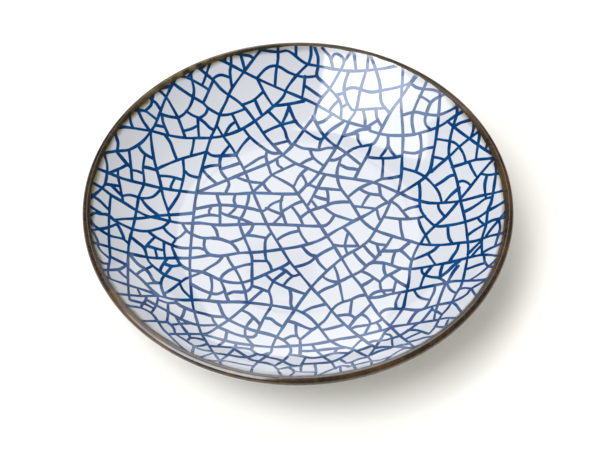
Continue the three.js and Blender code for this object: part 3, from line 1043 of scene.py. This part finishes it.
def on_glaze(point, lift):
    """The place on the plate of a point of the flat map, with a lift off the glaze."""
    length = point.length * MM
    bearing = math.atan2(point.y, point.x)
    section = Vector((length, floor_height + lift))
    if length > lip_length * MM:
        section = lip_point(length - lip_length * MM - half_lip, lift)
    elif length > floor_radius:
        section = wall_point((length - floor_radius) / wall_radius, lift)
    return around([section], bearing)[0]


def under_iron(inner, end):
    """Where a stroke that ends near the iron ends under it, as a list that is empty for any other stroke."""
    heading = (end - inner).normalized()
    outward = heading.dot(end.normalized())
    is_near = line_end - RIM_REACH / MM < end.length < line_end - RIM_SLACK / MM
    if not is_near or outward <= LEAST_OUTWARD:
        return []
    return [end + heading * (line_end - end.length) / outward]


def run_on(points):
    """The points of a stroke, with each end that comes near the iron carried on under it."""
    return under_iron(points[1], points[0]) + points + under_iron(points[-2], points[-1])


def stroke(points):
    """Places along a smooth stroke through the points."""
    last = len(points) - 1
    heading = [(points[min(k + 1, last)] - points[max(k - 1, 0)]).normalized() for k in range(last + 1)]
    places = [points[0]]
    for k in range(last):
        span = (points[k + 1] - points[k]).length
        steps = max(2, math.ceil(span * MM / LINE_STEP))
        start = points[k] + heading[k] * span / 3
        end = points[k + 1] - heading[k + 1] * span / 3
        places += interpolate_bezier(points[k], start, end, points[k + 1], steps + 1)[1:]
    return places


def pixels_across(place, side):
    """How many photograph pixels a millimetre takes up at a place of the flat map, measured sideways."""
    shown = []
    to_camera = camera.rotation_quaternion.inverted()
    for step in (-0.5, 0.5):
        seen = to_camera @ (Vector(on_glaze(place + step * side, 0)) - camera.location)
        shown.append(Vector((seen.x, seen.y)) / -seen.z * FOCAL)
    return (shown[1] - shown[0]).length


def ribbon(places, seed):
    """Left and right banks of a stroke that swells and thins, drawn in at both ends."""
    last = len(places) - 1
    banks = []
    for k, place in enumerate(places):
        along = (places[min(k + 1, last)] - places[max(k - 1, 0)]).normalized()
        swing = noise.noise(Vector((place.x, place.y, seed)) * MM * LINE_WIDTH_SCALE)
        side = Vector((-along.y, along.x))
        width = min(WIDEST_LINE / MM, LINE_WIDTH / pixels_across(place, side))
        half = width / 2 * (1 + LINE_WIDTH_SWING * swing)
        side *= half
        tip = along * half * TIP_REACH
        tip_side = side * TIP_WIDTH
        if k == 0:
            banks.append((place - tip + tip_side, place - tip - tip_side))
        banks.append((place + side, place - side))
        if k == last:
            banks.append((place + tip + tip_side, place + tip - tip_side))
    return banks


def within_glaze(point):
    """A point of the flat map, kept within the glaze's run up the lip's round."""
    longest = lip_length + (CLEAR_RISE - RIM_SLACK) / MM
    return point if point.length < longest else point.normalized() * longest


def line_lift(point):
    """How far a line stands above the glaze: a hair, and enough beside the lip to show through the iron."""
    to_round = point.length - lip_length
    if to_round > -RIM_DIP / MM:
        return LINE_PROUD
    risen = (to_round * MM + IRON_SHOWS) / LINE_RISE
    return LINE_PROUD + IRON_PROUD * min(1.0, max(0.0, risen))


def counterclockwise(vertices, triangle):
    """The triangle's corners, in the order that runs counterclockwise on the flat map."""
    a, b, c = triangle
    turn = (vertices[b] - vertices[a]).cross(vertices[c] - vertices[a])
    return triangle if turn > 0 else (a, c, b)


def crackle_map():
    """The net as triangles on the flat map, with the strokes united where they cross."""
    vertices = []
    parts = []
    for seed, pixels in enumerate(ALL_CRACKS):
        first = len(vertices)
        for left, right in ribbon(stroke(run_on(glaze_points(pixels))), seed):
            vertices += [within_glaze(left), within_glaze(right)]
        for corner in range(first, len(vertices) - 2):
            parts.append(counterclockwise(vertices, (corner, corner + 1, corner + 2)))
    united = delaunay_2d_cdt(vertices, [], parts, WHOLE_AREA, NET_TOLERANCE)
    points, faces, parts_within = united[0], united[2], united[5]
    return points, [face for face, parts_here in zip(faces, parts_within) if parts_here]


def crackle():
    """The net as a thin closed film that lies in the glaze and stands a hair above it."""
    points, triangles = crackle_map()
    used = sorted({corner for triangle in triangles for corner in triangle})
    index = {corner: place for place, corner in enumerate(used)}
    count = len(used)
    vertices = [on_glaze(points[corner], line_lift(points[corner])) for corner in used]
    vertices += [on_glaze(points[corner], -LINE_DEPTH) for corner in used]
    top = [tuple(index[corner] for corner in triangle) for triangle in triangles]
    faces = top + [tuple(corner + count for corner in reversed(triangle)) for triangle in top]
    directed = {(a, b) for triangle in top for a, b in zip(triangle, triangle[1:] + triangle[:1])}
    for a, b in sorted(directed):
        if (b, a) not in directed:
            faces.append((b, a, a + count, b + count))
    net = piece("ice_crackle", vertices, faces, cobalt_material())
    return net


inside_tree = BVHTree.FromPolygons(
    [vertex.co for vertex in inside_coat.data.vertices],
    [polygon.vertices for polygon in inside_coat.data.polygons],
)
crackle()


# Stage and light
TABLE_SIZE = 4.0
TABLE_ROUGHNESS = 0.7
TABLE_GLOSS = 0.2  # its specular level
SOFT_LIGHT_SIZE = 1.1  # side of each square soft light
SOFT_LIGHT_COLOUR = (1.0, 1.01, 1.07)
KEY_PLACE = (-0.78, -0.42, 1.6)  # at the front left
KEY_LIGHT = 6.2  # radiance
BACK_PLACE = (-0.25, 0.85, 1.6)  # behind the plate
BACK_LIGHT = 1.9
ROOM_COLOUR = (1.0, 0.98, 0.92)
ROOM_LIGHT = 0.57  # radiance from all round
PANEL_COLOUR = (0.94, 1.0, 1.04)  # of the sheets that the glaze mirrors


def table_material():
    """A plain white table top with a barely warm, uneven tone."""
    material, tree, shader = shader_tree("table")
    tones = [(0.35, (0.925, 0.905, 0.855)), (0.65, (0.945, 0.93, 0.88))]
    tree.links.new(ramp(tree, cloud(tree, waves=3.0), tones), shader.inputs["Base Color"])
    shader.inputs["Roughness"].default_value = TABLE_ROUGHNESS
    shader.inputs["Specular IOR Level"].default_value = TABLE_GLOSS
    return material


def stage_sheet(name, corners, material):
    """A flat sheet of the stage."""
    mesh = bpy.data.meshes.new(name)
    mesh.from_pydata(corners, [], [range(len(corners))])
    mesh.materials.append(material)
    sheet = add_object(name, mesh)
    return sheet


def add_table():
    """The table under the plate."""
    half = TABLE_SIZE / 2
    corners = [(-half, -half, 0), (half, -half, 0), (half, half, 0), (-half, half, 0)]
    stage_sheet("table", corners, table_material())


def add_reflector(name, corners, radiance):
    """A bright sheet that shows in the glaze's gloss."""
    material = bpy.data.materials.new(name)
    material.use_nodes = True
    tree = material.node_tree
    tree.nodes.remove(tree.nodes["Principled BSDF"])
    glow = add_node(tree, "ShaderNodeEmission", {"Color": (*PANEL_COLOUR, 1.0), "Strength": radiance})
    tree.links.new(glow.outputs["Emission"], tree.nodes["Material Output"].inputs["Surface"])
    sheet = stage_sheet(name, corners, material)
    sheet.visible_diffuse = False
    sheet.visible_camera = False
    sheet.visible_shadow = False


def add_overhead(name, height, corners, radiance):
    """A level reflector over the plate, with its corners given as (x, y)."""
    add_reflector(name, [(x, y, height) for x, y in corners], radiance)


def add_upright(name, depth, left, right, bottom, top, radiance):
    """An upright reflector behind the plate."""
    corners = [(left, depth, bottom), (right, depth, bottom), (right, depth, top), (left, depth, top)]
    add_reflector(name, corners, radiance)


def add_reflectors():
    """A softbox overhead to the left, brightest in its middle, a tall window behind and a backdrop beyond."""
    skirt_front = [(0.01, 0.46), (-0.32, -1.2), (-1.9, -1.2), (-1.9, -0.17)]
    skirt_back = [(-0.8, 0.06), (-0.68, 0.22), (-0.5, 0.4)]
    bright = [(-0.03, 0.27), (-0.25, -0.92), (-1.15, -0.92), (-1.0, -0.33)]
    add_overhead("softbox_skirt", height=1.0, corners=skirt_front + skirt_back, radiance=4.2)
    add_overhead("softbox", height=0.98, corners=bright, radiance=9.0)
    window = {"depth": 0.95, "left": -0.17, "right": 0.17}
    add_upright("window", **window, bottom=0.75, top=1.5, radiance=2.4)
    add_upright("window_foot", **window, bottom=0.0, top=0.75, radiance=3.2)
    add_upright("window_card", depth=0.94, left=-0.075, right=0.025, bottom=1.3, top=1.42, radiance=0.35)
    add_upright("backdrop", depth=1.3, left=-0.62, right=0.8, bottom=0.0, top=0.42, radiance=0.9)
    add_upright("backdrop_edge", depth=1.3, left=-0.62, right=0.85, bottom=0.42, top=0.7, radiance=1.5)


def add_soft_light(name, place, radiance):
    """A large soft light aimed at the plate. It lights the surfaces but isn't mirrored in the glaze."""
    data = bpy.data.lights.new(name, "AREA")
    data.shape = "RECTANGLE"
    data.size = SOFT_LIGHT_SIZE
    data.size_y = SOFT_LIGHT_SIZE
    data.color = SOFT_LIGHT_COLOUR
    data.energy = radiance * math.pi * SOFT_LIGHT_SIZE * SOFT_LIGHT_SIZE
    light = add_object(name, data)
    light.location = place
    light.rotation_euler = (-light.location).to_track_quat("-Z", "Y").to_euler()
    light.visible_glossy = False


def add_lights():
    """Soft light from the front left, less of it from behind, and a bright room all round."""
    add_soft_light("key", KEY_PLACE, KEY_LIGHT)
    add_soft_light("back_light", BACK_PLACE, BACK_LIGHT)
    world = bpy.data.worlds.new("room")
    world.use_nodes = True
    background = world.node_tree.nodes["Background"]
    background.inputs["Color"].default_value = (*ROOM_COLOUR, 1.0)
    background.inputs["Strength"].default_value = ROOM_LIGHT
    bpy.context.scene.world = world
    world.cycles_visibility.glossy = False


add_table()
add_reflectors()
add_lights()
bpy.context.scene.view_settings.view_transform = "Standard"
